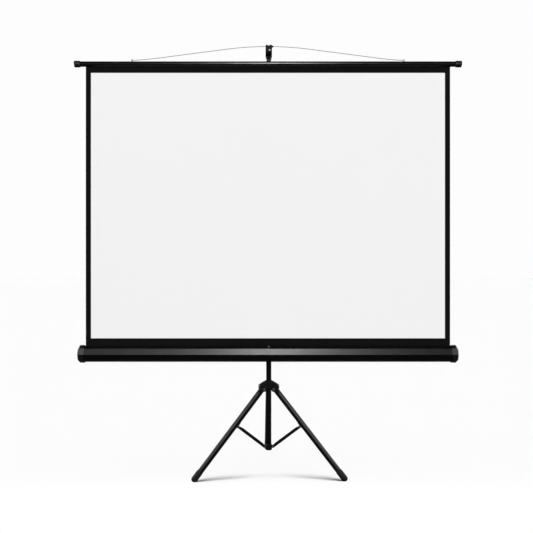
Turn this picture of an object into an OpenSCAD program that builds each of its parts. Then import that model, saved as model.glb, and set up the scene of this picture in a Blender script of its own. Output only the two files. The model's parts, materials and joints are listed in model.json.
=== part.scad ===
// Tripod projection screen: a spring roller screen on a folding three-legged stand.
// Millimetres, +Z up, the picture faces -Y, and the feet stand on z = 0.

/* [Picture] */
// Width of the white picture
picture_w = 1707; // [1500:1:1900]
// Height of the white picture
picture_h = 1280; // [1200:1:1300]
// Height of the picture's lower edge above the floor
picture_z = 651.7; // [645:0.1:670]
// Width of the black border at each side
border_side = 25; // [15:1:30]
// Visible height of the black border above the picture
border_top = 29.7; // [20:0.1:40]
// Visible height of the black border between the picture and the case
border_bottom = 36.7; // [30:0.1:40]
// Thickness of the sheet
sheet_t = 0.6; // [0.4:0.1:1]

/* [Case] */
// How far the case reaches past the sheet at each end
case_margin = 33; // [29:1:60]
// Corner radius of the eight-sided case
case_r = 38.4; // [37:0.1:39]
// Wall of the case
case_wall = 1.2; // [0.8:0.1:1.6]
// Width of the slot that the sheet leaves by
slot_w = 8; // [6:0.5:10]
// Corner radius of an end cap
cap_r = 42.6; // [41:0.1:44]
// Length of an end cap's side walls, with its end wall
cap_len = 30; // [26:1:40]
// Thickness of an end cap's end wall
cap_wall = 4; // [3:0.5:6]
// Width of the bevel round an end cap's outer end
cap_bevel = 6; // [3:0.5:7]
// Depth of the lips along the slot
slot_lip = 6; // [4:0.5:8]

/* [Roller] */
// Outer radius of the roller tube
roller_r = 16; // [15:0.5:17]
// Wall of the roller tube
roller_wall = 1.2; // [0.8:0.1:1.6]
// Outer radius of the wound turns that stay on the roller
roll_r = 18; // [17.5:0.1:19]
// Radius of the fixed axles
axle_r = 4; // [3.5:0.1:5]
// Radius of the rod inside the spring
rod_r = 3; // [2.5:0.1:3.4]
// Radius of the spring's wire
spring_wire_r = 1.2; // [0.8:0.1:1.6]
// Number of turns of the spring
spring_turns = 20; // [12:1:24]

/* [Top bar and bail] */
// Radius of the top bar
bar_r = 12.8; // [12:0.1:13.5]
// Wall of the top bar
bar_wall = 1.5; // [1:0.1:2]
// How far the top bar reaches past the sheet at each end
bar_margin = 55.5; // [45:0.5:70]
// Width of the mouth along the bar that the sheet leaves by
bar_mouth = 3; // [2.6:0.1:3.5]
// Outer radius of a bar cap
bar_cap_r = 15.6; // [14:0.1:17]
// Length of a bar cap
bar_cap_len = 29; // [25:1:35]
// Radius of the spline rod in the sheet's hem, inside the bar
spline_r = 4.5; // [3.5:0.1:5.5]
// Radius of the bail wire
wire_r = 1.5; // [1:0.1:1.6]
// Distance of a wire end from the middle
wire_end_x = 655; // [600:1:700]
// Slope of the straight stretch of the wire, in degrees
wire_slope = 7.4; // [6:0.1:9]
// Slope of the wire at its ends, in degrees
wire_end_slope = 2.9; // [2:0.1:4]
// Distance from the middle to the end of the wire's top bend
wire_top_x = 195; // [150:1:230]
// Distance from the middle to the start of the wire's end bend
wire_bend_x = 530; // [480:1:560]
// Height of the wire ends above the top of the bar
wire_lift = 5; // [4:0.5:6]

/* [Pole] */
// Radius of the main pole
pole_r = 12.7; // [12.5:0.1:13]
// Wall of the main pole
pole_wall = 1.2; // [1:0.1:1.4]
// Height of the pole's lower end
pole_z0 = 100; // [98:1:104]
// Height of the pole's upper end
pole_z1 = 1180; // [1150:1:1250]
// Distance of the pole's centre line behind the sheet
pole_back = 70; // [68:1:76]
// Distance of the pole to the right of the picture's middle
pole_x = 4; // [0:1:8]
// Radius of the extension tube
ext_r = 10.9; // [10.5:0.1:11]
// Wall of the extension tube
ext_wall = 1.2; // [1:0.1:1.6]
// Height of the extension tube's lower end
ext_z0 = 1040; // [1000:1:1060]
// Radius of the collar at the top of the pole
top_collar_r = 19; // [18:0.5:22]
// Height of that collar
top_collar_h = 50; // [46:1:60]

/* [Hook head] */
// Width of the hook head
head_w = 31; // [29:1:34]
// Thickness of each cheek of the hook
cheek_t = 6; // [5:0.5:7]
// Height of the hook's lip above the wire's centre line
lip_h = 6; // [5:0.5:9]
// Depth of the head from the lip to its lower rim
head_h = 48; // [46:1:56]
// How far the hook reaches in front of the wire
hook_nose = 14; // [12:1:18]
// Height of the hook's forward arm
hook_arm = 33; // [30:1:35]
// Height of the web between the cheeks
hook_web = 18; // [14:1:20]
// Depth of the extension tube's socket in the head
socket_depth = 25; // [22:1:28]
// Thickness of the roof over that socket
socket_roof = 6; // [4:0.5:8]

/* [Slider and swivel] */
// How far the slider reaches below the case's centre line
slider_drop = 19.6; // [17:0.1:20]
// Length of the slider's sleeve
slider_len = 120; // [115:1:130]
// Outer radius of the sleeve
slider_r = 18; // [17:0.5:18.5]
// Radius of the swivel boss
swivel_boss_r = 14; // [12:0.5:15]
// Radius of the swivel pin
swivel_r = 5; // [4:0.1:6]
// Thickness of the swivel washer
washer_t = 2; // [1.8:0.1:2]
// Half width of the swivel plate
plate_half_w = 40; // [38:1:50]
// Half height of the swivel plate
plate_half_h = 28; // [26:1:30]
// Depth of the swivel plate, from its flat back to the ends of its cradle
plate_wrap = 17; // [14:0.5:20]
// Distance of the plate screws from the middle of the plate
plate_screw_x = 30; // [24:1:32]
// Height of the plate screws above and below the middle of the plate
plate_screw_z = 14; // [12:0.5:16]
// Distance from the pole to the handle's grip
grip_reach = 52; // [48:1:60]
// Radius of the handle's grip
grip_r = 9; // [8:0.5:10]

/* [Knobs] */
// Radius of a knob's body
knob_r = 13; // [12:0.5:15]
// Thickness of a knob
knob_h = 12; // [10:1:15]
// Number of grips around a knob
knob_lobes = 5; // [4:1:8]
// Radius of each grip
knob_lobe_r = 4.7; // [4:0.1:5.5]
// Radius of a knob's raised middle
knob_crown_r = 7.8; // [6:0.1:9]
// Radius of the round foot under a knob
knob_foot_r = 6.5; // [5:0.1:8]
// Radius of a knob's stud
stud_r = 3; // [2.5:0.1:3]
// Radius of the bosses that the studs are screwed through
knob_boss_r = 9; // [8:0.5:10]
// Distance from the pole to a knob's underside
knob_reach = 30; // [28:1:34]

/* [Tripod] */
// Angle of an open leg from the vertical
leg_splay = 43.4; // [42:0.1:45]
// Radius of a leg tube
leg_r = 14; // [13:0.1:14.5]
// Wall of a leg tube
leg_wall = 1.2; // [1:0.1:1.4]
// Distance of the leg pivots from the pole's centre line
hub_pivot_r = 36; // [35:0.5:37]
// Height of the leg pivots
hub_pivot_z = 399; // [395:1:402]
// Radius of a foot
foot_r = 15.4; // [15.2:0.1:16.5]
// Height of the centre of a foot's round end
foot_z = 12; // [10:0.5:13]
// Length of a foot's sleeve along the leg
foot_len = 42; // [36:1:50]
// Angle that the three legs are turned by about the pole, in degrees
stand_turn = 1; // [0:0.5:4]
// Distance along a leg from its pivot to the brace lug
lug_along = 217; // [205:1:225]
// Distance of the collar pivots from the pole's centre line
collar_pivot_r = 26; // [25.5:0.5:28]
// Height of the collar pivots above the pole's lower end
collar_pivot_rise = 16; // [14:0.5:18]
// Outer radius of the lower collar
collar_r = 16.5; // [16:0.5:18]
// Radius of the hinge pins
pin_r = 3; // [2.5:0.1:3.2]
// Half thickness of the tongues that the braces straddle
tongue_half = 4.2; // [3.6:0.1:4.2]
// Half depth of a brace
brace_half = 7; // [6:0.1:7.5]
// Radius of the round ends of a brace
brace_tip_r = 5.2; // [4.8:0.1:5.5]
// Sheet thickness of a brace
brace_t = 1.5; // [1.2:0.1:2]

/* [Hub] */
// Height of the hub's crown above the leg pivots
crown_rise = 40; // [39.5:0.5:42]
// Slope of the hub's roof, in degrees
roof_slope = 28; // [26:0.5:28.5]
// Radius of the round eaves of the hub's roof
eave_r = 9; // [8:0.5:10]
// Height of the lower edge of the roof's lobes above the leg pivots
skirt_rise = 4; // [3:0.5:6]
// Radius of the hub's neck
neck_r = 16.5; // [16:0.1:17]
// How far the hub's sleeve reaches below the leg pivots
sleeve_drop = 8; // [5:1:11]
// Distance of a lobe's round end from the pole's centre line
lobe_reach = 39; // [38:0.5:41]
// Half width of a lobe
lobe_r = 17.5; // [16:0.1:18]
// Thickness of the roof over the leg channels
roof_wall = 2.6; // [2.2:0.1:2.8]
// Half width of a leg's tongue in the hub
leg_tongue_half = 8; // [7:0.1:8]
// How far a leg pin rises in its groove as the stand folds
groove_rise = 14; // [13.5:0.1:15]
// How far a leg pin moves outwards in its groove as the stand folds
groove_out = 2.7; // [2.6:0.1:3]

/* [Fits] */
// Gap around pieces that are pressed or fixed together
seat_gap = 0.15; // [0.05:0.05:0.2]
// Gap around pieces that slide or turn
slide_gap = 0.2; // [0.15:0.05:0.3]
// Gap around the swivel pin and the roller axles
running_gap = 0.05; // [0.02:0.01:0.1]
// Gap between faces that pass each other
face_gap = 0.3; // [0.2:0.05:0.4]

/* [Hidden] */
$fn = 64;
far = 1000;
cap_gap = 0.02;
leg_names = ["left", "right", "rear"];
leg_spread = 60;
leg_turn = [stand_turn - leg_spread, stand_turn + leg_spread, stand_turn + 180];
foot_along = (hub_pivot_z - foot_z) / cos(leg_splay);
foot_reach = hub_pivot_r + foot_along * sin(leg_splay);
pole_y = foot_reach * (cos(leg_spread - stand_turn) - cos(stand_turn)) / 2;
sheet_y = pole_y - pole_back;
sheet_w = picture_w + 2 * border_side;
picture_top = picture_z + picture_h;
bar_z = picture_top + border_top + bar_r;
bar_half = sheet_w / 2 + bar_margin;
bar_end_wall = 4;
hem_r = spline_r + seat_gap + sheet_t;
spline_z = bar_z - (bar_r - bar_wall - hem_r - seat_gap);
oct_flat = cos(22.5);
case_half = sheet_w / 2 + case_margin - cap_wall;
case_z = picture_z - border_bottom - case_r;
case_inner_r = case_r - case_wall / oct_flat;
case_seat_r = case_r + seat_gap / oct_flat;
tail_drop = 10;
boss_len = 6.5;
roller_half = case_half - boss_len - 3;
plug_len = 26;
plug_flange = 2;
spring_steps = 10;
spring_r = (rod_r + face_gap) / cos(180 / spring_steps) + spring_wire_r;
collar_pivot_z = pole_z0 + collar_pivot_rise;
skirt_z = hub_pivot_z + skirt_rise;
crown_z = hub_pivot_z + crown_rise;
crown_r = pole_r + slide_gap + 1.2;
sleeve_z = hub_pivot_z - sleeve_drop;
lug_off = leg_r + brace_tip_r + face_gap;
lug_x = hub_pivot_r + lug_along * sin(leg_splay) - lug_off * cos(leg_splay);
lug_z = hub_pivot_z - lug_along * cos(leg_splay) - lug_off * sin(leg_splay);
brace_len = norm([lug_x - collar_pivot_r, lug_z - collar_pivot_z]);
brace_tilt = atan2(lug_x - collar_pivot_r, lug_z - collar_pivot_z);
brace_side = tongue_half + face_gap;
brace_out = brace_side + brace_t;
brace_back = 2 * brace_half - brace_tip_r;
pin_head_r = pin_r + 1.5;
pin_head_t = 1.6;
tongue_r = 6;
web_gap = 22;
shoulder = 30;
fitting_plug = 30;
fitting_r = 8.5;
channel_half = leg_tongue_half + face_gap;
cheek_r = 12.5;
leg_pin_out = 3.6;
wire_top_r = wire_top_x / sin(wire_slope);
wire_end_r = (wire_end_x - wire_bend_x) / (sin(wire_slope) - sin(wire_end_slope));
wire_top_drop = wire_top_r * (1 - cos(wire_slope));
wire_mid_drop = (wire_bend_x - wire_top_x) * tan(wire_slope);
wire_end_drop = wire_end_r * (cos(wire_end_slope) - cos(wire_slope));
wire_end_z = bar_z + bar_r + wire_lift;
wire_z = wire_end_z + wire_top_drop + wire_mid_drop + wire_end_drop;
head_top = wire_z + lip_h;
head_bottom = head_top - head_h;
ext_z1 = head_bottom + socket_depth;
socket_top = ext_z1 + socket_roof;
web_inset = 4;
post_r = 2.5;
top_knob_z = pole_z1 - 15;
slider_z0 = case_z - slider_drop;
slider_knob_z = slider_z0 + 83;
swivel_face = 26;
plate_face = swivel_face + washer_t + face_gap;
handle_inset = 15;
handle_z0 = slider_z0 + handle_inset;
handle_z1 = slider_z0 + slider_len - handle_inset;
handle_arm_r = 8;
screw_r = 2;
screw_head_r = 4;
screw_head_t = 2.2;
cap_screw_len = 9;
plate_screw_len = 16;
boss_short = 2.5;

black_paint = [0.05, 0.05, 0.055];
black_plastic = [0.08, 0.08, 0.085];
steel = [0.72, 0.72, 0.74];
rubber = [0.04, 0.04, 0.04];
white_cloth = [0.94, 0.94, 0.94];
black_cloth = [0.06, 0.06, 0.06];
zinc = [0.6, 0.6, 0.62];
nylon = [0.85, 0.85, 0.82];

// Frames that the pieces are drawn in

// The pole's centre line, with the front towards -Y
module on_pole() {
  translate([pole_x, pole_y, 0]) children();
}

// A leg's upright plane: +X runs outwards from the pole, +Z up
module in_leg_plane(turn) {
  on_pole() rotate([0, 0, turn - 90]) children();
}

// Along a leg: +Z from its pivot to its foot, +X to its underside
module on_leg(turn) {
  in_leg_plane(turn) translate([hub_pivot_r, 0, hub_pivot_z]) rotate([0, 180 - leg_splay, 0]) children();
}

// Along a brace: +Z from the collar pivot to the leg, -X to its upper side
module on_brace(turn) {
  in_leg_plane(turn) translate([collar_pivot_r, 0, collar_pivot_z]) rotate([0, brace_tilt, 0]) children();
}

// Along the case or the bar: +Z becomes +X
module along_x() {
  rotate([0, 90, 0]) children();
}

// The case's centre line
module on_case() {
  translate([0, sheet_y, case_z]) children();
}

// Shared shapes

module tube(r, wall, h) {
  difference() {
    cylinder(r = r, h = h);
    translate([0, 0, -1]) cylinder(r = r - wall, h = h + 2);
  }
}

module cross_pin(r, half) {
  rotate([90, 0, 0]) cylinder(r = r, h = 2 * half, center = true);
}

// A plate outline in X and Z, of a given half thickness in Y
module plate(half) {
  rotate([90, 0, 0]) linear_extrude(height = 2 * half, center = true) children();
}

// A domed rivet head on z = 0
module dome_head(r, t) {
  ball_r = (r * r + t * t) / (2 * t);
  rotate_extrude() intersection() {
    translate([0, t - ball_r]) circle(r = ball_r);
    square([r, t]);
  }
}

// A hinge pin along Y with a domed head at each end
module headed_pin(half) {
  cross_pin(pin_r, half + pin_head_t / 2);
  for (side = [-1, 1]) rotate([-90 * side, 0, 0]) translate([0, 0, half]) dome_head(pin_head_r, pin_head_t);
}

module octagon(r, h) {
  linear_extrude(height = h, center = true) circle(r = r, $fn = 8);
}

// A star knob with its stud, the stud pointing to -Z
module star_knob(stud_len) {
  crown_h = 2;
  foot_h = 2;
  linear_extrude(height = knob_h) {
    circle(r = knob_r);
    for (i = [0 : knob_lobes - 1]) rotate(i * 360 / knob_lobes)
      translate([knob_r - 1, 0]) circle(r = knob_lobe_r);
  }
  translate([0, 0, knob_h - 1]) cylinder(r = knob_crown_r, h = crown_h + 1);
  translate([0, 0, -foot_h]) cylinder(r = knob_foot_r, h = foot_h + 1);
  translate([0, 0, -stud_len]) cylinder(r = stud_r, h = stud_len + 1);
}

// A pan-head screw, the head on z = 0 and the shank pointing to -Z
module pan_screw(len) {
  cylinder(r = screw_head_r, h = screw_head_t);
  translate([0, 0, -len]) cylinder(r = screw_r, h = len + screw_head_t / 2);
}

// Places of the four screws of the swivel plate, pointing backwards
module at_plate_screws() {
  for (x = [-1, 1], z = [-1, 1])
    translate([pole_x + x * plate_screw_x, pole_y - plate_face, case_z + z * plate_screw_z])
      rotate([-90, 0, 0]) children();
}

// Places of the end cap screws, on the lower back faces
module at_cap_screws(side) {
  on_case() translate([side * (case_half - cap_len / 2 + cap_wall), 0, 0])
    rotate([-22.5 - 90, 0, 0]) translate([0, 0, cap_r * oct_flat]) children();
}

// Pole and extension

module pole_tube() {
  color(black_paint) on_pole() difference() {
    translate([0, 0, pole_z0]) tube(pole_r, pole_wall, pole_z1 - pole_z0);
    translate([0, 0, top_knob_z]) rotate([-90, 0, 0]) cylinder(r = stud_r + face_gap, h = 2 * pole_r);
  }
}

module pole_end_plug() {
  plug_depth = 18;
  rim_t = 3;
  color(black_plastic) on_pole() {
    translate([0, 0, pole_z0]) cylinder(r = pole_r - pole_wall - seat_gap, h = plug_depth);
    translate([0, 0, pole_z0 - rim_t]) cylinder(r = pole_r + 1.5, h = rim_t);
  }
}

module lower_collar() {
  ring_z0 = pole_z0 + 0.1;
  ring_h = 24;
  color(black_plastic) difference() {
    union() {
      on_pole() translate([0, 0, ring_z0]) cylinder(r = collar_r, h = ring_h);
      for (turn = leg_turn) in_leg_plane(turn) plate(tongue_half) {
        translate([collar_pivot_r, collar_pivot_z]) circle(r = tongue_r);
        translate([0, collar_pivot_z - tongue_r]) square([collar_pivot_r, 2 * tongue_r]);
      }
    }
    on_pole() translate([0, 0, ring_z0 - 1]) cylinder(r = pole_r + seat_gap, h = ring_h + 2);
    for (turn = leg_turn) in_leg_plane(turn) translate([collar_pivot_r, 0, collar_pivot_z])
      cross_pin(pin_r + seat_gap, collar_r);
  }
}

module collar_pins() {
  color(steel) for (turn = leg_turn) in_leg_plane(turn)
    translate([collar_pivot_r, 0, collar_pivot_z]) headed_pin(brace_out + slide_gap);
}

module pole_top_collar() {
  stop_t = 12;
  bevel = 4;
  collar_z0 = pole_z1 - top_collar_h + stop_t;
  color(black_plastic) on_pole() difference() {
    union() {
      translate([0, 0, collar_z0]) cylinder(r = top_collar_r, h = top_collar_h - bevel);
      translate([0, 0, collar_z0 + top_collar_h - bevel])
        cylinder(r1 = top_collar_r, r2 = top_collar_r - bevel, h = bevel);
      translate([0, 0, top_knob_z]) rotate([-90, 0, 0])
        cylinder(r = knob_boss_r, h = knob_reach - boss_short);
    }
    translate([0, 0, collar_z0 - 1]) cylinder(r = pole_r + seat_gap, h = pole_z1 - collar_z0 + 1 + seat_gap);
    translate([0, 0, collar_z0]) cylinder(r = ext_r + slide_gap, h = top_collar_h + 1);
    translate([0, 0, top_knob_z]) rotate([-90, 0, 0]) cylinder(r = stud_r + slide_gap, h = knob_reach);
  }
}

module extension_knob() {
  color(black_plastic) on_pole() translate([0, knob_reach, top_knob_z]) rotate([-90, 0, 0])
    star_knob(knob_reach - ext_r - 0.5);
}

module extension_tube() {
  color(black_paint) on_pole() translate([0, 0, ext_z0]) tube(ext_r, ext_wall, ext_z1 - ext_z0);
}

module extension_bush() {
  bush_len = 40;
  rim_t = 3;
  color(black_plastic) on_pole() translate([0, 0, ext_z0]) {
    cylinder(r = ext_r - ext_wall - seat_gap, h = bush_len);
    translate([0, 0, -rim_t]) cylinder(r = pole_r - pole_wall - slide_gap, h = rim_t);
  }
}

// Side outline of a hook cheek: X forwards from the pole, Y up
module cheek_outline() {
  nose = pole_back + hook_nose;
  arm_z = head_top - hook_arm;
  round_r = 5;
  root_z = head_bottom + 8;
  root_x = 13;
  arm_x = 30;
  back_lip = 9;
  slant = 7;
  crest = 6;
  polygon([
    [0, root_z], [root_x, root_z], [arm_x, arm_z], [nose - round_r, arm_z],
    [nose, arm_z + round_r], [nose, head_top - round_r], [nose - round_r, head_top],
    [pole_back - back_lip, head_top], [pole_back - back_lip - slant, head_top - slant],
    [root_x, socket_top + crest], [0, socket_top]
  ]);
  translate([nose - round_r, head_top - round_r]) circle(r = round_r);
  translate([nose - round_r, arm_z + round_r]) circle(r = round_r);
}

module hook_head() {
  web_half = head_w / 2 - cheek_t;
  web_front = pole_back + hook_nose - web_inset;
  web_z = head_top - hook_arm;
  front_t = 6;
  ear = 5;
  groove_r = wire_r + face_gap;
  dip_r = 7;
  dip = 4;
  nib = 7;
  nib_half = 5;
  foot_h = 6;
  foot_wall = 2.4;
  color(black_plastic) on_pole() difference() {
    union() {
      translate([0, 0, head_bottom]) cylinder(r1 = ext_r + foot_wall, r2 = head_w / 2, h = foot_h);
      translate([0, 0, head_bottom + foot_h])
        cylinder(r = head_w / 2, h = socket_top - head_bottom - foot_h);
      intersection() {
        union() {
          rotate([0, 0, -90]) for (side = [-1, 1])
            translate([0, side * (head_w - cheek_t) / 2, 0]) plate(cheek_t / 2) cheek_outline();
          translate([-web_half, -web_front, web_z]) cube([2 * web_half, web_front, hook_web]);
          translate([-web_half, -web_front, web_z]) cube([2 * web_half, front_t, hook_arm]);
        }
        plate(far) polygon([
          [-head_w / 2, head_bottom], [head_w / 2, head_bottom], [head_w / 2, head_top - ear],
          [head_w / 2 - ear, head_top], [ear - head_w / 2, head_top], [-head_w / 2, head_top - ear]
        ]);
      }
      translate([0, -pole_back, wire_z]) plate(nib_half) polygon([
        [head_w / 2 - ear, lip_h - 1], [head_w / 2 + nib, 1],
        [head_w / 2 + nib, -2], [head_w / 2 - ear, -nib]
      ]);
    }
    translate([0, 0, head_bottom - 1]) cylinder(r = ext_r + seat_gap, h = ext_z1 - head_bottom + 1.1);
    translate([0, -pole_back, wire_z]) along_x() cylinder(r = groove_r, h = 2 * head_w, center = true);
    translate([-head_w, -pole_back - groove_r, wire_z]) cube([2 * head_w, 2 * groove_r, lip_h + 1]);
    translate([0, -pole_back - hook_nose, head_top + dip_r - dip]) rotate([-90, 0, 0])
      cylinder(r = dip_r, h = 2 * hook_nose, center = true);
  }
}

module hook_rivet() {
  rivet_r = 4.5;
  rivet_t = 2.5;
  rivet_x = 4.5;
  rivet_z = head_top - hook_arm + 6.5;
  color(steel) on_pole() translate([rivet_x, -pole_back - hook_nose + web_inset, rivet_z])
    rotate([90, 0, 0]) dome_head(rivet_r, rivet_t);
}

// Hub

// Plan of the hub: three round-ended lobes about the pole
module lobe_plan() {
  for (turn = leg_turn) rotate(turn - 90) {
    translate([0, -lobe_r]) square([lobe_reach, 2 * lobe_r]);
    translate([lobe_reach, 0]) circle(r = lobe_r);
  }
}

// The space under the hub's roof, or under a ceiling that is inset from it
module roof(inset) {
  eave_x = lobe_reach + eave_r;
  eave_z = crown_z - (eave_x - crown_r) * tan(roof_slope) - eave_r / cos(roof_slope);
  edge = eave_r - inset;
  top = crown_z - inset / cos(roof_slope);
  rotate_extrude() {
    polygon([
      [0, eave_z - edge], [0, top], [crown_r, top],
      [eave_x + edge * sin(roof_slope), eave_z + edge * cos(roof_slope)], [eave_x, eave_z - edge]
    ]);
    translate([eave_x, eave_z]) circle(r = edge);
  }
}

module hub() {
  lobe_h = 2 * (crown_z - skirt_z);
  neck_top = crown_z - 4;
  mouth_rise = 12;
  color(black_plastic) difference() {
    on_pole() union() {
      intersection() {
        roof(0);
        translate([0, 0, skirt_z]) linear_extrude(height = lobe_h) lobe_plan();
      }
      intersection() {
        translate([0, 0, hub_pivot_z - lobe_h]) linear_extrude(height = lobe_h + 12) lobe_plan();
        for (turn = leg_turn) rotate([0, 0, turn - 90]) plate(lobe_r) {
          translate([hub_pivot_r, hub_pivot_z]) circle(r = cheek_r);
          translate([0, hub_pivot_z]) square([hub_pivot_r + cheek_r, cheek_r]);
        }
      }
      translate([0, 0, sleeve_z]) cylinder(r = neck_r, h = neck_top - sleeve_z);
    }
    on_pole() translate([0, 0, sleeve_z - 1]) cylinder(r = pole_r + slide_gap, h = crown_z - sleeve_z + 2);
    for (turn = leg_turn) in_leg_plane(turn) {
      intersection() {
        roof(roof_wall);
        translate([neck_r + 3.5, -channel_half, hub_pivot_z - lobe_h])
          cube([2 * lobe_reach, 2 * channel_half, 2 * lobe_h]);
      }
      translate([neck_r + 3.5, -channel_half, hub_pivot_z - lobe_h])
        cube([2 * lobe_reach, 2 * channel_half, lobe_h + mouth_rise]);
      plate(channel_half + leg_pin_out) pin_groove();
    }
  }
}

// Groove in the lobe cheeks that the leg pin keeps clear of as the stand folds
module pin_groove() {
  half = pin_r + slide_gap;
  translate([hub_pivot_r - half, hub_pivot_z - half])
    square([2 * half + groove_out, 2 * half + groove_rise]);
}

module hub_rivets() {
  rivet_r = 5;
  rivet_t = 1.8;
  color(steel) for (turn = leg_turn, side = [-1, 1]) in_leg_plane(turn)
    translate([hub_pivot_r, side * lobe_r, hub_pivot_z]) rotate([-90 * side, 0, 0])
      dome_head(rivet_r, rivet_t);
}

// Legs

module leg(turn) {
  tube_end = foot_along - 6;
  color(black_paint) on_leg(turn) translate([0, 0, shoulder]) tube(leg_r, leg_wall, tube_end - shoulder);
}

module leg_fitting(turn) {
  color(black_plastic) on_leg(turn) difference() {
    union() {
      translate([0, 0, shoulder]) cylinder(r = leg_r - leg_wall - seat_gap, h = fitting_plug);
      intersection() {
        translate([0, 0, -leg_r]) cylinder(r = leg_r, h = leg_r + shoulder);
        plate(leg_tongue_half) {
          circle(r = fitting_r);
          polygon([
            [-fitting_r, 0], [fitting_r, 0], [leg_r, shoulder - 10], [leg_r, shoulder],
            [-leg_r, shoulder], [-leg_r, shoulder - 10]
          ]);
        }
      }
    }
    cross_pin(pin_r + seat_gap, leg_r);
  }
}

module leg_pins(turn) {
  color(steel) on_leg(turn) {
    cross_pin(pin_r, leg_tongue_half + leg_pin_out);
    translate([lug_off, 0, lug_along]) headed_pin(brace_out + slide_gap);
  }
}

module foot(turn) {
  mouth = 4;
  mouth_wall = 0.7;
  mouth_z = foot_along - foot_len;
  color(rubber) difference() {
    on_leg(turn) difference() {
      union() {
        translate([0, 0, mouth_z]) cylinder(r1 = leg_r + mouth_wall, r2 = foot_r, h = mouth);
        translate([0, 0, mouth_z + mouth]) cylinder(r = foot_r, h = foot_len - mouth);
        translate([0, 0, foot_along]) sphere(r = foot_r);
      }
      translate([0, 0, mouth_z - 1]) cylinder(r = leg_r + seat_gap, h = foot_len - 4.8);
    }
    translate([-far, -far, -far]) cube([2 * far, 2 * far, far]);
  }
}

module brace_lug(turn) {
  saddle_t = 1.8;
  saddle_h = 10;
  saddle_z0 = lug_along - 9 - saddle_h;
  color(black_plastic) on_leg(turn) difference() {
    union() {
      plate(tongue_half) {
        translate([lug_off, lug_along]) circle(r = tongue_r);
        polygon([
          [0, saddle_z0], [leg_r + saddle_t / 2, saddle_z0], [leg_r + saddle_t / 2, saddle_z0 + saddle_h],
          [lug_off + tongue_r, lug_along], [lug_off, lug_along + tongue_r], [0, lug_along + tongue_r]
        ]);
      }
      intersection() {
        translate([0, 0, saddle_z0]) cylinder(r = leg_r + seat_gap + saddle_t, h = saddle_h);
        translate([leg_r / 2, -leg_r * 2, saddle_z0 - 1]) cube([leg_r * 2, leg_r * 4, saddle_h + 2]);
      }
    }
    translate([0, 0, saddle_z0 - 10]) cylinder(r = leg_r + seat_gap, h = 80);
    translate([lug_off, 0, lug_along]) cross_pin(pin_r + seat_gap, leg_r);
  }
}

module brace(turn) {
  color(black_paint) on_brace(turn) {
    difference() {
      for (side = [-1, 1]) translate([0, side * (brace_side + brace_t / 2), 0]) plate(brace_t / 2) {
        circle(r = brace_tip_r);
        translate([0, brace_len]) circle(r = brace_tip_r);
        polygon([
          [brace_tip_r, 0], [brace_tip_r, brace_len], [-brace_tip_r, brace_len],
          [-brace_back, brace_len - web_gap], [-brace_back, web_gap], [-brace_tip_r, 0]
        ]);
      }
      for (z = [0, brace_len]) translate([0, 0, z]) cross_pin(pin_r + slide_gap, leg_r);
    }
    translate([-brace_back, -brace_side - 0.1, web_gap])
      cube([brace_t, 2 * brace_side + 0.2, brace_len - 2 * web_gap]);
  }
}

// Slider, swivel and handle

module slider_sleeve() {
  color(black_plastic) on_pole() difference() {
    union() {
      translate([0, 0, slider_z0]) cylinder(r = slider_r, h = slider_len);
      translate([0, 0, case_z]) rotate([90, 0, 0]) cylinder(r = swivel_boss_r, h = swivel_face);
      translate([0, 0, slider_knob_z]) along_x() cylinder(r = knob_boss_r, h = knob_reach - boss_short);
    }
    translate([0, 0, slider_z0 - 1]) cylinder(r = pole_r + slide_gap, h = slider_len + 2);
    translate([0, 0, case_z]) rotate([90, 0, 0]) cylinder(r = swivel_r + running_gap, h = swivel_face + 1);
    translate([0, 0, slider_knob_z]) along_x() cylinder(r = stud_r + slide_gap, h = knob_reach);
  }
}

module slider_knob() {
  color(black_plastic) on_pole() translate([knob_reach, 0, slider_knob_z]) along_x()
    star_knob(knob_reach - pole_r - 0.5);
}

module carry_handle() {
  color(black_plastic) on_pole() difference() {
    union() {
      for (z = [handle_z0, handle_z1]) translate([0, 0, z]) {
        rotate([-90, 0, 0]) cylinder(r = handle_arm_r, h = grip_reach);
        translate([0, grip_reach, 0]) sphere(r = grip_r);
      }
      translate([0, grip_reach, handle_z0]) cylinder(r = grip_r, h = handle_z1 - handle_z0);
    }
    translate([0, 0, slider_z0 - 20]) cylinder(r = slider_r + seat_gap, h = slider_len + 40);
  }
}

module swivel_washer() {
  color(nylon) on_pole() translate([0, -swivel_face - 0.1, case_z]) rotate([90, 0, 0])
    tube(swivel_boss_r - 1, swivel_boss_r - 1 - swivel_r - slide_gap, washer_t);
}

module swivel_plate() {
  color(black_paint) difference() {
    translate([pole_x - plate_half_w, pole_y - plate_face - plate_wrap, case_z - plate_half_h])
      cube([2 * plate_half_w, plate_wrap, 2 * plate_half_h]);
    on_case() along_x() octagon(case_seat_r, 4 * plate_half_w);
    translate([pole_x, pole_y, case_z]) rotate([90, 0, 0])
      cylinder(r = swivel_r + running_gap, h = pole_back);
    at_plate_screws() cylinder(r = screw_r + seat_gap, h = 60, center = true);
  }
}

module swivel_pin() {
  pin_end = pole_r + 2;
  color(steel) on_pole() translate([0, -pin_end, case_z]) rotate([90, 0, 0])
    cylinder(r = swivel_r, h = pole_back - case_r - pin_end - 0.2);
}

module plate_screws() {
  color(steel) at_plate_screws() pan_screw(plate_screw_len);
}

// Case, caps and roller

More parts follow.
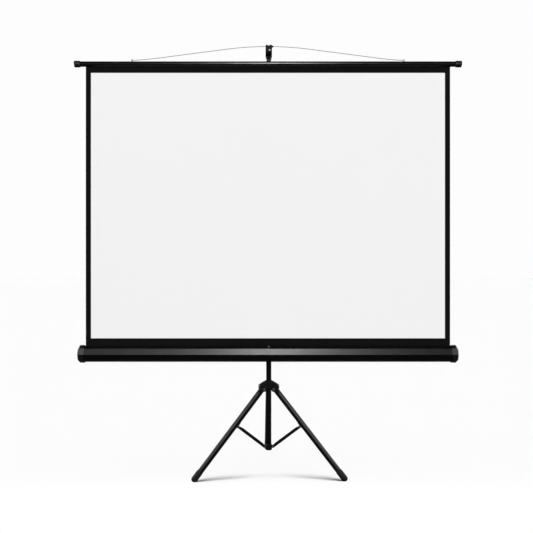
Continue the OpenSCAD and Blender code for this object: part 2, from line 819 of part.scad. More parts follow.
module case_shell() {
  lip_y = slot_w / 2 + case_wall;
  lip_z = case_r - lip_y * tan(22.5);
  color(black_paint) difference() {
    on_case() {
      along_x() difference() {
        octagon(case_r, 2 * case_half);
        octagon(case_inner_r, 2 * case_half + 2);
      }
      for (y = [-lip_y, slot_w / 2]) translate([-case_half, y, lip_z - slot_lip])
        cube([2 * case_half, case_wall, slot_lip]);
    }
    on_case() translate([-far, -slot_w / 2, case_inner_r / 2]) cube([2 * far, slot_w, case_r]);
    at_plate_screws() cylinder(r = screw_r + seat_gap, h = 60, center = true);
    for (side = [-1, 1]) at_cap_screws(side) cylinder(r = screw_r + seat_gap, h = 30, center = true);
  }
}

// Cuts that bevel an end cap's outer end, one along each of its eight sides
module cap_bevels(side) {
  cut = cap_bevel * sqrt(2);
  for (i = [0 : 7]) rotate([22.5 + 45 * i, 0, 0])
    translate([side * (case_half + cap_wall), 0, cap_r * oct_flat])
      rotate([0, 45, 0]) cube([cut, 2 * cap_r, cut], center = true);
}

module end_cap(side) {
  boss_r = 10;
  color(black_plastic) difference() {
    on_case() {
      translate([side * (case_half + cap_wall - cap_len / 2), 0, 0]) along_x() difference() {
        octagon(cap_r, cap_len);
        translate([0, 0, -side * cap_wall]) octagon(case_seat_r, cap_len);
      }
      translate([side * (case_half - boss_len / 2), 0, 0]) along_x()
        difference() {
          cylinder(r = boss_r, h = boss_len + 0.2, center = true);
          cylinder(r = axle_r + running_gap, h = 2 * boss_len, center = true);
        }
    }
    on_case() cap_bevels(side);
    at_cap_screws(side) cylinder(r = screw_r + seat_gap, h = 30, center = true);
  }
}

module end_cap_screws() {
  color(steel) for (side = [-1, 1]) at_cap_screws(side) translate([0, 0, cap_gap]) pan_screw(cap_screw_len);
}

module case_catch() {
  catch_r = 3.2;
  catch_h = 2;
  catch_y = slot_w / 2 + 5;
  color(steel) on_case() translate([pole_x, -catch_y, case_r - catch_y * tan(22.5) + seat_gap])
    rotate([22.5, 0, 0]) cylinder(r = catch_r, h = catch_h);
}

module roller_tube() {
  color(zinc) on_case() along_x() translate([0, 0, -roller_half])
    tube(roller_r, roller_wall, 2 * roller_half);
}

module roller_plug(side) {
  color(black_plastic) on_case() along_x() mirror([0, 0, side < 0 ? 1 : 0]) difference() {
    union() {
      translate([0, 0, roller_half - plug_len])
        cylinder(r = roller_r - roller_wall - seat_gap, h = plug_len + 1);
      translate([0, 0, roller_half]) cylinder(r = roller_r, h = plug_flange);
    }
    translate([0, 0, roller_half - plug_len - 1]) cylinder(r = axle_r + running_gap, h = plug_len + 5);
  }
}

module fabric_roll() {
  color(black_cloth) on_case() along_x() translate([0, 0, -sheet_w / 2])
    tube(roll_r, roll_r - roller_r - seat_gap, sheet_w);
}

module roller_axle_left() {
  color(steel) on_case() along_x() translate([0, 0, -case_half])
    cylinder(r = axle_r, h = boss_len + plug_len + 8);
}

module roller_axle_right() {
  rod_len = 700;
  color(steel) on_case() along_x() {
    translate([0, 0, case_half - boss_len - plug_len - 8]) cylinder(r = axle_r, h = boss_len + plug_len + 8);
    translate([0, 0, case_half - rod_len]) cylinder(r = rod_r, h = rod_len - plug_len);
  }
}

// One ring of points of the spring's wire, at a given turn about the rod
function spring_ring(turn, pitch, sides) = [
  for (k = [0 : sides - 1])
    let (r = spring_r + spring_wire_r * cos(k * 360 / sides))
    [r * cos(turn), r * sin(turn), pitch * turn / 360 + spring_wire_r * sin(k * 360 / sides)]
];

module roller_spring() {
  sides = 6;
  pitch = 25;
  start = 680;
  rings = spring_turns * spring_steps;
  points = [for (i = [0 : rings]) each spring_ring(i * 360 / spring_steps, pitch, sides)];
  skin = [
    for (i = [0 : rings - 1], k = [0 : sides - 1])
      let (a = i * sides + k, b = i * sides + (k + 1) % sides)
      each [[a, a + sides, b + sides], [a, b + sides, b]]
  ];
  first = [for (k = [0 : sides - 1]) k];
  last = [for (k = [0 : sides - 1]) rings * sides + sides - 1 - k];
  color(steel) on_case() along_x() translate([0, 0, case_half - start])
    polyhedron(points = points, faces = concat(skin, [first, last]));
}

// Screen sheet

module screen_panel() {
  color(white_cloth) translate([0, sheet_y, 0]) plate(sheet_t / 2)
    translate([-picture_w / 2, picture_z]) square([picture_w, picture_h]);
}

// Black margins, with the hem round the spline and the stretch that runs down to the roller
module screen_border() {
  tail_top = case_z + case_r - tail_drop;
  wrap_r = roll_r + sheet_t / 2 + 0.2;
  drop = tail_top - case_z;
  lean = acos(wrap_r / drop);
  sheet_top = spline_z - hem_r + sheet_t / 2;
  color(black_cloth) translate([0, sheet_y, 0]) {
    plate(sheet_t / 2) difference() {
      translate([-sheet_w / 2, tail_top]) square([sheet_w, sheet_top - tail_top]);
      translate([-picture_w / 2, picture_z]) square([picture_w, picture_h]);
    }
    translate([-sheet_w / 2, 0, spline_z]) along_x() tube(hem_r, sheet_t, sheet_w);
    translate([-sheet_w / 2, 0, tail_top]) rotate([90 - lean, 0, 0])
      translate([0, -sheet_t / 2, -wrap_r * tan(lean)]) cube([sheet_w, sheet_t, wrap_r * tan(lean)]);
  }
}

// Top bar and bail

module top_bar() {
  color(black_paint) translate([0, sheet_y, bar_z]) difference() {
    along_x() translate([0, 0, -bar_half + bar_end_wall])
      tube(bar_r, bar_wall, 2 * (bar_half - bar_end_wall));
    translate([-far, -bar_mouth / 2, -2 * bar_r]) cube([2 * far, bar_mouth, 2 * bar_r - spline_r]);
    for (side = [-1, 1]) translate([side * wire_end_x, 0, 0]) cylinder(r = post_r + seat_gap, h = 2 * bar_r);
  }
}

module bar_cap(side) {
  edge = 3;
  color(black_plastic) translate([0, sheet_y, bar_z]) along_x() mirror([0, 0, side < 0 ? 1 : 0])
    translate([0, 0, bar_half]) rotate_extrude() difference() {
      union() {
        translate([0, edge - bar_cap_len]) square([bar_cap_r, bar_cap_len - 2 * edge]);
        translate([0, -bar_cap_len]) square([bar_cap_r - edge, bar_cap_len]);
        for (end = [-edge, edge - bar_cap_len]) translate([bar_cap_r - edge, end]) circle(r = edge);
      }
      translate([0, -bar_cap_len - 1]) square([bar_r + seat_gap, bar_cap_len + 1 - bar_end_wall + 0.1]);
      translate([-edge, -bar_cap_len - 1]) square([edge, bar_cap_len + 2]);
    }
}

module bar_spline() {
  color(steel) translate([0, sheet_y, spline_z]) along_x()
    cylinder(r = spline_r, h = sheet_w, center = true);
}

// One side of the wire beyond its top bend: a straight stretch and an end bend, joined by fine beads
module wire_side() {
  bead = 0.05;
  mid_len = (wire_bend_x - wire_top_x) / cos(wire_slope);
  translate([wire_top_x, 0, wire_z - wire_top_drop]) rotate([0, 90 + wire_slope, 0]) {
    cylinder(r = wire_r, h = mid_len);
    for (z = [0, mid_len]) translate([0, 0, z]) sphere(r = wire_r + bead);
  }
  translate([wire_bend_x, 0, wire_z - wire_top_drop - wire_mid_drop])
    translate([wire_end_r * sin(wire_slope), 0, wire_end_r * cos(wire_slope)]) rotate([90, 0, 0])
      rotate([0, 0, 270 - wire_slope]) rotate_extrude(angle = wire_slope - wire_end_slope, $fn = 720)
        translate([wire_end_r, 0]) circle(r = wire_r, $fn = 24);
}

module wire_bail() {
  color(steel) translate([0, sheet_y, 0]) {
    translate([0, 0, wire_z - wire_top_r]) rotate([90, 0, 0]) rotate([0, 0, 90 - wire_slope])
      rotate_extrude(angle = 2 * wire_slope, $fn = 720)
        translate([wire_top_r, 0]) circle(r = wire_r, $fn = 24);
    wire_side();
    mirror([1, 0, 0]) wire_side();
  }
}

module wire_anchors() {
  block_r = 4;
  block_h = wire_lift + 4;
  post_h = 4;
  color(steel) for (side = [-1, 1]) translate([side * wire_end_x, sheet_y, 0]) difference() {
    union() {
      translate([0, 0, bar_z + bar_r - post_h]) cylinder(r = post_r, h = post_h + 1);
      translate([0, 0, bar_z + bar_r + seat_gap]) cylinder(r = block_r, h = block_h);
    }
    translate([0, 0, wire_end_z]) rotate([0, side * (wire_end_slope - 90), 0])
      cylinder(r = wire_r + slide_gap, h = 2 * block_r);
  }
}

pole_tube();
pole_end_plug();
lower_collar();
collar_pins();
pole_top_collar();
extension_knob();
extension_tube();
extension_bush();
hook_head();
hook_rivet();
hub();
hub_rivets();
for (i = [0 : 2]) {
  leg(leg_turn[i]);
  leg_fitting(leg_turn[i]);
  leg_pins(leg_turn[i]);
  foot(leg_turn[i]);
  brace_lug(leg_turn[i]);
  brace(leg_turn[i]);
}
slider_sleeve();
slider_knob();
carry_handle();
swivel_washer();
swivel_plate();
swivel_pin();
plate_screws();
case_shell();
end_cap(-1);  // end_cap_left
end_cap(1);  // end_cap_right
end_cap_screws();
case_catch();
roller_tube();
roller_plug(-1);  // roller_plug_left
roller_plug(1);  // roller_plug_right
fabric_roll();
roller_axle_left();
roller_axle_right();
roller_spring();
screen_panel();
screen_border();
top_bar();
bar_cap(-1);  // bar_cap_left
bar_cap(1);  // bar_cap_right
bar_spline();
wire_bail();
wire_anchors();
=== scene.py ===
"""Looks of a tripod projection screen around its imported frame: finishes, sheet, light and camera."""

import json
import math

import bmesh
import bpy
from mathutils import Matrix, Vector


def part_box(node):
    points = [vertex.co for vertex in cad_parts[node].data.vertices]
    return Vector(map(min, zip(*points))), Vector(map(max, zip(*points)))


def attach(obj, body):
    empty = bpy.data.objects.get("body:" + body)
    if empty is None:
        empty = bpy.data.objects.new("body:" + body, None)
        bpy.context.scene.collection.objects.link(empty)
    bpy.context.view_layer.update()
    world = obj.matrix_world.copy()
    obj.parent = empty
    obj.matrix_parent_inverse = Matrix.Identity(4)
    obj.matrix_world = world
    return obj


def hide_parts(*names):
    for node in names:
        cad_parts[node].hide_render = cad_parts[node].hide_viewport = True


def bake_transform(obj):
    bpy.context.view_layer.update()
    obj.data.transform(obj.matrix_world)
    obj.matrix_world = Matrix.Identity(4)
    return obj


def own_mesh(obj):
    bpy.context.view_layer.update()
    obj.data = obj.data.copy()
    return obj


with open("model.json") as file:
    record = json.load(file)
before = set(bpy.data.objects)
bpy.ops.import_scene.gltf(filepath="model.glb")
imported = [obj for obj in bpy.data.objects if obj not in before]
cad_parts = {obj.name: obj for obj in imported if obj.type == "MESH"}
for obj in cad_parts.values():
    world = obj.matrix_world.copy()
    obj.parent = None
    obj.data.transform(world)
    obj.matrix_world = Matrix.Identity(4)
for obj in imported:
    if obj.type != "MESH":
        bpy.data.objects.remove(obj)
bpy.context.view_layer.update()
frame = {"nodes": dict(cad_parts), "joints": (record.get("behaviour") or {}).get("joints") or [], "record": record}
NODES = frame["nodes"]
JOINTS = {j["name"]: j for j in frame["joints"]}
LEGS = ("left", "right", "rear")

# Finishes

MIX_SHARE, MIX_FIRST, MIX_SECOND, MIX_RESULT = 0, 6, 7, 2
DUSTED = 1.5
DULLED = 0.82


def graph(name):
    """A new node material, its node tree and its shader."""
    mat = bpy.data.materials.new(name)
    mat.use_nodes = True
    tree = mat.node_tree
    return mat, tree, tree.nodes["Principled BSDF"]


def add(tree, kind, inputs=None, **settings):
    """A node of one kind, with its settings and its input values or links."""
    node = tree.nodes.new(kind)
    for key, value in settings.items():
        setattr(node, key, value)
    for key, value in (inputs or {}).items():
        if isinstance(value, bpy.types.NodeSocket):
            tree.links.new(value, node.inputs[key])
        else:
            node.inputs[key].default_value = value
    return node


def place(tree, stretch=(1, 1, 1)):
    """Coordinates in metres on the object, stretched along its axes."""
    coords = add(tree, "ShaderNodeTexCoord")
    return add(tree, "ShaderNodeMapping", {"Vector": coords.outputs["Object"], "Scale": stretch}).outputs[0]


def noise(tree, where, scale, detail=3.0, roughness=0.55):
    """A noise texture's value at a place."""
    found = add(
        tree,
        "ShaderNodeTexNoise",
        {"Vector": where, "Scale": scale, "Detail": detail, "Roughness": roughness},
    )
    return found.outputs["Fac"]


def ranged(tree, value, low, high, start=0.3, stop=0.7):
    """A texture value, mapped from its usual spread to a range."""
    node = add(
        tree,
        "ShaderNodeMapRange",
        {"Value": value, "From Min": start, "From Max": stop, "To Min": low, "To Max": high},
    )
    return node.outputs["Result"]


def mixed(tree, share, first, second):
    """Two colours, or two linked colours, mixed by a share."""
    node = add(tree, "ShaderNodeMix", data_type="RGBA")
    for index, value in ((MIX_SHARE, share), (MIX_FIRST, first), (MIX_SECOND, second)):
        if isinstance(value, bpy.types.NodeSocket):
            tree.links.new(value, node.inputs[index])
        else:
            node.inputs[index].default_value = value if index == MIX_SHARE else (*value, 1)
    return node.outputs[MIX_RESULT]


def edges(tree, radius):
    """Rounded normals at a piece's edges, and how much of an edge is near."""
    bevel = add(tree, "ShaderNodeBevel", {"Radius": radius}, samples=6)
    flat = add(tree, "ShaderNodeNewGeometry")
    turn = add(
        tree,
        "ShaderNodeVectorMath",
        {0: bevel.outputs[0], 1: flat.outputs["Normal"]},
        operation="DOT_PRODUCT",
    )
    near = ranged(tree, turn.outputs["Value"], low=1.0, high=0.0, start=0.72, stop=0.985)
    return bevel.outputs[0], near


def bump(tree, height, depth, normal=None, strength=1.0):
    """A normal that a height map disturbs by up to a depth in metres."""
    inputs = {"Height": height, "Distance": depth, "Strength": strength}
    if normal is not None:
        inputs["Normal"] = normal
    return add(tree, "ShaderNodeBump", inputs).outputs[0]


def coated(name, colour, worn, rough, grain, depth, round_r, wear, spec=0.5):
    """A coated or moulded surface: faint mottling, grain, softened edges and a little edge wear."""
    mat, tree, shader = graph(name)
    where = place(tree)
    normal, near = edges(tree, round_r)
    dusty = [c * DUSTED for c in colour]
    mottle = ranged(tree, noise(tree, where, scale=9.0, detail=5.0), low=0.0, high=1.0)
    base = mixed(tree, mottle, colour, dusty)
    patches = ranged(
        tree, noise(tree, where, scale=60.0, detail=4.0), low=0.0, high=wear, start=0.45, stop=0.8
    )
    rubbed = add(tree, "ShaderNodeMath", {0: near, 1: patches}, operation="MULTIPLY").outputs[0]
    sheen = ranged(
        tree, noise(tree, where, scale=30.0, detail=4.0), low=rough - 0.01, high=rough + 0.015
    )
    grained = bump(tree, noise(tree, where, scale=grain, detail=2.0), depth, normal, strength=0.4)
    tree.links.new(mixed(tree, rubbed, base, worn), shader.inputs["Base Color"])
    tree.links.new(sheen, shader.inputs["Roughness"])
    tree.links.new(grained, shader.inputs["Normal"])
    shader.inputs["Specular IOR Level"].default_value = spec
    return mat


def bright(name, colour, rough, stretch, round_r, metal=1.0):
    """Bare plated steel with drawn or turned marks along one axis."""
    mat, tree, shader = graph(name)
    normal, _ = edges(tree, round_r)
    marks = noise(tree, place(tree, stretch), scale=1.0, detail=4.0, roughness=0.7)
    cloud = ranged(tree, noise(tree, place(tree), scale=60.0, detail=3.0), low=0.0, high=1.0)
    dulled = [c * DULLED for c in colour]
    sheen = ranged(tree, marks, low=rough - 0.07, high=rough + 0.09)
    drawn = bump(tree, marks, depth=0.00003, normal=normal, strength=0.5)
    tree.links.new(mixed(tree, cloud, colour, dulled), shader.inputs["Base Color"])
    tree.links.new(sheen, shader.inputs["Roughness"])
    tree.links.new(drawn, shader.inputs["Normal"])
    shader.inputs["Metallic"].default_value = metal
    return mat


def cloth(name, colour, shade, rough, thread, depth, sheen):
    """A coated woven cloth: crossed threads, a soft cloudiness and a matte face."""
    mat, tree, shader = graph(name)
    where = place(tree)
    wave = {"Vector": where, "Scale": thread, "Distortion": 0.6, "Detail": 1.0}
    across, along = (
        add(tree, "ShaderNodeTexWave", wave, bands_direction=axis).outputs["Fac"] for axis in ("X", "Z")
    )
    weave = add(tree, "ShaderNodeMath", {0: across, 1: along}, operation="MAXIMUM").outputs[0]
    cloud = ranged(tree, noise(tree, where, scale=2.2, detail=4.0), low=0.0, high=1.0)
    matte = ranged(tree, weave, low=rough - 0.04, high=rough + 0.03, start=0.0, stop=1.0)
    tree.links.new(mixed(tree, cloud, colour, shade), shader.inputs["Base Color"])
    tree.links.new(matte, shader.inputs["Roughness"])
    tree.links.new(bump(tree, weave, depth, strength=0.5), shader.inputs["Normal"])
    shader.inputs["Sheen Weight"].default_value = sheen
    shader.inputs["Specular IOR Level"].default_value = 0.25
    return mat


BLACK = (0.0012, 0.0012, 0.0013)
PLASTIC = (0.002, 0.002, 0.0021)
RUBBED_PAINT = (0.016, 0.016, 0.017)
RUBBED_PLASTIC = (0.02, 0.02, 0.02)
PAINT = {"colour": BLACK, "worn": RUBBED_PAINT, "grain": 1500.0, "round_r": 0.0005}
MOULDED = {"colour": PLASTIC, "worn": RUBBED_PLASTIC, "round_r": 0.0009, "wear": 0.2}
paint = coated("satin_black_paint", **PAINT, rough=0.26, depth=0.00002, wear=0.25)
bar_paint = coated("gloss_black_paint", **PAINT, rough=0.24, depth=0.00001, wear=0.2, spec=0.95)
leg_paint = coated("matte_black_paint", **PAINT, rough=0.36, depth=0.00003, wear=0.3)
cap_plastic = coated(
    "grained_black_plastic", **MOULDED, rough=0.33, grain=1400.0, depth=0.00003, spec=1.0
)
plastic = coated("moulded_black_plastic", **MOULDED, rough=0.36, grain=2200.0, depth=0.00004)
rubber = coated(
    "black_rubber",
    colour=(0.004, 0.004, 0.004),
    worn=(0.03, 0.029, 0.028),
    rough=0.62,
    grain=900.0,
    depth=0.0001,
    round_r=0.0012,
    wear=0.4,
)
nylon = coated(
    "natural_nylon",
    colour=(0.72, 0.71, 0.66),
    worn=(0.8, 0.8, 0.76),
    rough=0.42,
    grain=1200.0,
    depth=0.00005,
    round_r=0.0003,
    wear=0.2,
)
steel = bright(
    "plated_steel",
    colour=(0.74, 0.74, 0.76),
    rough=0.3,
    stretch=(300, 300, 300),
    round_r=0.0004,
    metal=0.75,
)
wire_steel = bright(
    "drawn_wire",
    colour=(0.27, 0.27, 0.28),
    rough=0.34,
    stretch=(8, 900, 900),
    round_r=0.0002,
    metal=0.5,
)
# Painted shade: rivets and pins get plain steel darkened to a dim grey, which stands in for the shade they sit in
painted_shade_steel = bright(
    "steel_with_painted_shade",
    colour=(0.15, 0.15, 0.155),
    rough=0.36,
    stretch=(40, 700, 700),
    round_r=0.0004,
    metal=0.6,
)
zinc = bright(
    "galvanised_tube",
    colour=(0.58, 0.59, 0.61),
    rough=0.4,
    stretch=(5, 400, 400),
    round_r=0.0003,
)
white_cloth = cloth(
    "matte_white_sheet",
    colour=(0.87, 0.87, 0.87),
    shade=(0.866, 0.866, 0.868),
    rough=0.9,
    thread=260.0,
    depth=0.00004,
    sheen=0.05,
)
black_cloth = cloth(
    "matte_black_sheet",
    colour=(0.0052, 0.0052, 0.0055),
    shade=(0.0062, 0.0062, 0.0064),
    rough=0.86,
    thread=260.0,
    depth=0.00005,
    sheen=0.02,
)

FINISH = {
    "black_paint": paint,
    "black_plastic": plastic,
    "foot_rubber": rubber,
    "steel": steel,
    "roller_zinc": zinc,
    "nylon": nylon,
    "white_sheet": white_cloth,
    "black_sheet": black_cloth,
}
for part in frame["record"]["subparts"]:
    piece = NODES[part["node"]]
    piece.data.materials.clear()
    piece.data.materials.append(FINISH[part["material_slot"]])
OWN_FINISH = [
    (wire_steel, ["wire_bail", "wire_anchors"]),
    (bar_paint, ["top_bar"]),
    (cap_plastic, [kind + side for kind in ("end_cap_", "bar_cap_") for side in ("left", "right")]),
    (leg_paint, [kind + leg for kind in ("leg_", "brace_") for leg in LEGS]),
    # Rivets and pins: steel darkened as painted shade
    (painted_shade_steel, ["hub_rivets", "collar_pins", *("leg_pins_" + leg for leg in LEGS)]),
]
for finish, named in OWN_FINISH:
    for node in named:
        NODES[node].data.materials[0] = finish

# The sheet, in four lengths that meet edge to edge: the top border goes with the bar, the next two hang on
# the pole with meshes of their own, and the foot stays where it is made

HEM_IN_BAR = 0.0024
FOOT_RISE = 0.2
SLOT_DEPTH = 0.010
ROLL_GAP = 0.0002
TAIL_ROWS = 6
TAIL_EASE = 1.4
RIPPLE = 0.0011
LONG_WAVE, LONG_SHIFT = 3.1, 1.3
SHORT_WAVE, SHORT_SLANT, SHORT_SHARE = 7.3, 2.1, 0.5
WIDE_STEP, FINE_STEP, SLOT_STEP = 0.06, 0.02, 0.012
panel_low, panel_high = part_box("screen_panel")
border_low, border_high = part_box("screen_border")
bar_low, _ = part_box("top_bar")
shell_low, shell_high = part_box("case_shell")
roll_low, roll_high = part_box("fabric_roll")
SHEET_T = panel_high.y - panel_low.y
SHEET_Y = (panel_low.y + panel_high.y) / 2
HALF_W = (border_high.x - border_low.x) / 2
PICTURE_HALF = (panel_high.x - panel_low.x) / 2
CASE_Z = (shell_low.z + shell_high.z) / 2
ROLL_R = (roll_high.z - roll_low.z) / 2
BAR_TRAVEL = -JOINTS["extension_slide"]["range_m"][0]
CASE_TRAVEL = JOINTS["case_slide"]["range_m"][1]
SHEET_TOP = bar_low.z + HEM_IN_BAR
SLOT_Z = shell_high.z
HEAD_Z = panel_high.z
BEND_Z = SLOT_Z - SLOT_DEPTH
FOOT_Z = SLOT_Z + FOOT_RISE
MEET_Z = HEAD_Z - (HEAD_Z - FOOT_Z) * BAR_TRAVEL / (BAR_TRAVEL + CASE_TRAVEL)


def spread(low, high, step):
    """Evenly spaced values from low to high, no further apart than a step."""
    count = max(1, math.ceil((high - low) / step))
    return [low + (high - low) * i / count for i in range(count + 1)]


def ripple(x, z):
    """How far the hanging sheet stands off its plane: nothing at the bar and the slot."""
    hang = math.sin(math.pi * min(1, max(0, (z - SLOT_Z) / (SHEET_TOP - SLOT_Z))))
    long = math.sin(LONG_WAVE * x + LONG_SHIFT)
    short = SHORT_SHARE * math.sin(SHORT_WAVE * x + SHORT_SLANT * z)
    return RIPPLE * hang * (long + short)


def sheet_length(name, rows):
    """A length of the sheet, white in front inside the borders.

    Each row is a height and a distance behind the sheet's plane.
    """
    columns = sorted(
        {
            *spread(-HALF_W, -PICTURE_HALF, FINE_STEP),
            *spread(-PICTURE_HALF, PICTURE_HALF, WIDE_STEP),
            *spread(PICTURE_HALF, HALF_W, FINE_STEP),
        }
    )
    made = bmesh.new()
    faces = {}
    for side in (-1, 1):
        grid = [
            [made.verts.new((x, SHEET_Y + back + ripple(x, z) + side * SHEET_T / 2, z)) for x in columns]
            for z, back in rows
        ]
        faces[side] = grid
        for r in range(len(rows) - 1):
            for c in range(len(columns) - 1):
                corners = [grid[r][c], grid[r][c + 1], grid[r + 1][c + 1], grid[r + 1][c]]
                face = made.faces.new(corners if side < 0 else corners[::-1])
                face.smooth = True
                middle_x = (columns[c] + columns[c + 1]) / 2
                middle_z = (rows[r][0] + rows[r + 1][0]) / 2
                inside = abs(middle_x) < PICTURE_HALF and panel_low.z < middle_z < panel_high.z
                face.material_index = 0 if side < 0 and inside else 1
    front, back_grid = faces[-1], faces[1]
    last_row, last_column = len(rows) - 1, len(columns) - 1
    rim = [(0, c) for c in range(last_column)] + [(r, last_column) for r in range(last_row)]
    rim += [(last_row, c) for c in range(last_column, 0, -1)] + [(r, 0) for r in range(last_row, 0, -1)]
    for i, (r, c) in enumerate(rim):
        nr, nc = rim[(i + 1) % len(rim)]
        face = made.faces.new([front[r][c], back_grid[r][c], back_grid[nr][nc], front[nr][nc]])
        face.material_index = 1
        for edge in face.edges:
            edge.smooth = False
    bmesh.ops.recalc_face_normals(made, faces=made.faces)
    mesh = bpy.data.meshes.new(name)
    made.to_mesh(mesh)
    made.free()
    mesh.materials.append(white_cloth)
    mesh.materials.append(black_cloth)
    obj = bpy.data.objects.new(name, mesh)
    bpy.context.scene.collection.objects.link(obj)
    return obj


def tail():
    """Rows of the stretch inside the case, from the turn of the roll up to the slot."""
    wrap = ROLL_R + SHEET_T / 2 + ROLL_GAP
    lean = math.acos(wrap / (BEND_Z - CASE_Z))
    end_y, end_z = wrap * math.sin(lean), CASE_Z + wrap * math.cos(lean)
    shares = [i / TAIL_ROWS for i in range(TAIL_ROWS)]
    return [(end_z + (BEND_Z - end_z) * t, end_y * (1 - t) ** TAIL_EASE) for t in shares]


def flat_rows(low, high, step):
    """Rows of a stretch that hangs in the sheet's plane."""
    return [(z, 0.0) for z in spread(low, high, step)]


sheet_rows = {
    "sheet_top": flat_rows(HEAD_Z, SHEET_TOP, FINE_STEP),
    "sheet_upper": flat_rows(MEET_Z, HEAD_Z, WIDE_STEP),
    "sheet_middle": flat_rows(FOOT_Z, MEET_Z, WIDE_STEP),
    "sheet_foot": [
        *tail(),
        *flat_rows(BEND_Z, panel_low.z, SLOT_STEP),
        *flat_rows(panel_low.z, FOOT_Z, FINE_STEP)[1:],
    ],
}
sheet = {name: sheet_length(name, rows) for name, rows in sheet_rows.items()}
for name, obj in sheet.items():
    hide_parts("screen_panel", "screen_border")
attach(sheet["sheet_top"], "extension")
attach(sheet["sheet_upper"], "pole")
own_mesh(sheet["sheet_upper"])
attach(sheet["sheet_middle"], "pole")
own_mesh(sheet["sheet_middle"])
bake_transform(sheet["sheet_foot"])

# Stage: floor, light and camera

WHITE = 0.983
FLOOR_REACH = 60.0
FLOOR_GLOW = 0.03
FILL_ABOVE, FILL_BELOW = 0.012, 0.03
HORIZON = 0.2
EYE_X, EYE_HEIGHT, EYE_DISTANCE = -0.007, 0.998, 3.571
LIMB_KINDS = ("leg_", "foot_", "leg_fitting_", "brace_lug_")
STAND = ["hub", "pole_tube", "lower_collar"]
STAND += [kind + leg for kind in (*LIMB_KINDS, "brace_") for leg in LEGS]
# Lights that draw a foot's shadow: degrees up, degrees round to the front, and strength on the floor
LOW_LIGHTS = ((9, 15, 0.75), (10, 21, 0.75), (13, 29, 0.7), (18, 40, 0.6), (26, 54, 0.4))
LOW_SPREAD = 11
LIMB_SPREAD = 24


def pale_floor(glow):
    """Two halves of a floor that glows a little, so that it runs into the white surround."""
    mat, _, shader = graph("pale_floor")
    shader.inputs["Base Color"].default_value = (0.86, 0.86, 0.86, 1)
    shader.inputs["Roughness"].default_value = 1.0
    shader.inputs["Specular IOR Level"].default_value = 0.0
    shader.inputs["Emission Color"].default_value = (1, 1, 1, 1)
    shader.inputs["Emission Strength"].default_value = glow
    halves = []
    for name, start, stop in (("floor_left", -FLOOR_REACH, 0.0), ("floor_right", 0.0, FLOOR_REACH)):
        mesh = bpy.data.meshes.new(name)
        corners = [
            (start, -FLOOR_REACH, 0),
            (stop, -FLOOR_REACH, 0),
            (stop, FLOOR_REACH, 0),
            (start, FLOOR_REACH, 0),
        ]
        mesh.from_pydata(corners, [], [(0, 1, 2, 3)])
        mesh.materials.append(mat)
        obj = bpy.data.objects.new(name, mesh)
        bpy.context.scene.collection.objects.link(obj)
        obj.visible_glossy = obj.visible_diffuse = False
        halves.append(obj)
    return halves


def surround(seen, above, below):
    """A white surround that the camera sees, and the faint fill that it gives from above and from below."""
    made = bpy.data.worlds.new("studio")
    bpy.context.scene.world = made
    made.use_nodes = True
    tree = made.node_tree
    path = add(tree, "ShaderNodeLightPath")
    ray = add(tree, "ShaderNodeSeparateXYZ", {0: add(tree, "ShaderNodeTexCoord").outputs["Generated"]})
    fill = ranged(tree, ray.outputs["Z"], low=below, high=above, start=-HORIZON, stop=HORIZON)
    level = add(
        tree,
        "ShaderNodeMapRange",
        {"Value": path.outputs["Is Camera Ray"], "To Min": fill, "To Max": seen},
    )
    tree.nodes["Background"].inputs["Color"].default_value = (1, 1, 1, 1)
    tree.links.new(level.outputs["Result"], tree.nodes["Background"].inputs["Strength"])


def lamp(kind, name, where, aim, power, gloss=True):
    """A lamp at one place, aimed at another."""
    light = bpy.data.lights.new(name, kind)
    light.energy = power
    obj = bpy.data.objects.new(name, light)
    bpy.context.scene.collection.objects.link(obj)
    obj.location = where
    obj.rotation_mode = "QUATERNION"
    obj.rotation_quaternion = (Vector(aim) - Vector(where)).to_track_quat("-Z", "Y")
    obj.visible_glossy = gloss
    return obj


def softbox(name, where, aim, size, power):
    """A lit rectangle, which shows as a highlight."""
    obj = lamp("AREA", name, where, aim, power)
    obj.data.shape = "RECTANGLE"
    obj.data.size, obj.data.size_y = size
    return obj


def wash(name, where, aim, power, spread_deg):
    """Even light from a wide part of the sky, too soft to show as a highlight."""
    obj = lamp("SUN", name, where, aim, power, gloss=False)
    obj.data.angle = math.radians(spread_deg)
    return obj


def group(name, members, state="INCLUDE"):
    """A set of objects that a lamp is kept to, or kept from with EXCLUDE."""
    made = bpy.data.collections.new(name)
    for obj in members:
        made.objects.link(obj)
    for member in made.collection_objects:
        member.light_linking.link_state = state
    return made


def camera():
    """A level camera in front of the picture."""
    lens = bpy.data.cameras.new("camera")
    lens.lens, lens.sensor_width = 50.0, 36.0
    obj = bpy.data.objects.new("camera", lens)
    bpy.context.scene.collection.objects.link(obj)
    obj.location = (EYE_X, SHEET_Y - EYE_DISTANCE, EYE_HEIGHT)
    obj.rotation_euler = (math.radians(90), 0, 0)
    bpy.context.scene.camera = obj


def skyward(side, rise, turn):
    """A far point up one side: degrees above the floor, and degrees round from the side to the front."""
    up, round_to = math.radians(rise), math.radians(turn)
    return (side * math.cos(up) * math.cos(round_to), -math.cos(up) * math.sin(round_to), math.sin(up))


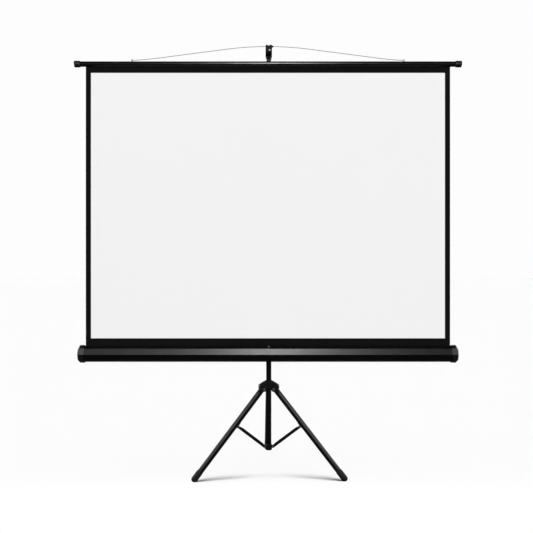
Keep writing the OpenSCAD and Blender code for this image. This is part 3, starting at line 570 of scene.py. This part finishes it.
floors = pale_floor(FLOOR_GLOW)
surround(WHITE, FILL_ABOVE, FILL_BELOW)
limbs = {leg: [NODES[kind + leg] for kind in LIMB_KINDS] for leg in LEGS}
dull = [*floors, *sheet.values(), *limbs["left"], *limbs["right"]]
front = wash("front_wash", where=(0, -5, 3.2), aim=(0, 0, 1), power=3.85, spread_deg=70)
front.light_linking.receiver_collection = group("off_floor", [*floors, NODES["top_bar"]], "EXCLUDE")
key = softbox("key", where=(0.05, -5.0, 4.0), aim=(0, 0, 1.2), size=(0.5, 3.0), power=95)
key.light_linking.receiver_collection = group("key_off", [*dull, NODES["hook_head"]], "EXCLUDE")
strip = softbox("strip", where=(-0.4, -5.4, 4.2), aim=(0, 0, 1.0), size=(4.6, 1.4), power=22)
strip.light_linking.receiver_collection = group("strip_off", [*dull, NODES["top_bar"]], "EXCLUDE")
gloss_only = group("gloss_only", dull, "EXCLUDE")
for side in (-1, 1):
    flank = softbox(
        f"flank_{side}", where=(side * 3.4, -3.3, 2.5), aim=(0, 0, 0.4), size=(0.9, 1.2), power=40
    )
    flank.light_linking.receiver_collection = gloss_only
    rear = softbox(
        f"back_{side}",
        where=(side * 4.6, 3.4, 1.9),
        aim=(side * 0.3, 0, 1.0),
        size=(1.4, 2.2),
        power=260,
    )
    rear.light_linking.receiver_collection = group(f"back_off_{side}", floors, "EXCLUDE")
overhead = wash("overhead", where=(0, 0.3, 3.2), aim=(0, 0, 0), power=0.22, spread_deg=60)
overhead.light_linking.receiver_collection = group("whole_floor", floors)
overhead.light_linking.blocker_collection = group("stand", [NODES[n] for n in STAND])
for leg, side, half in zip(("left", "right"), (-1, 1), floors):
    limb_light = softbox(
        "limb_" + leg,
        where=(side * 0.98, -3.8, 3.77),
        aim=(side * 0.03, -0.02, 0.36),
        size=(0.9, 0.9),
        power=1.9,
    )
    limb_light.data.spread = math.radians(LIMB_SPREAD)
    limb_light.light_linking.receiver_collection = group("limb_only_" + leg, limbs[leg])
    half_only = group("floor_" + leg, [half])
    foot_only = group("foot_" + leg, [NODES["foot_" + leg]])
    for rise, turn, share in LOW_LIGHTS:
        power = share / math.sin(math.radians(rise))
        low_light = wash(f"low_{leg}_{turn}", skyward(side, rise, turn), (0, 0, 0), power, LOW_SPREAD)
        low_light.light_linking.receiver_collection = half_only
        low_light.light_linking.blocker_collection = foot_only
camera()
bpy.context.scene.view_settings.view_transform = "Standard"
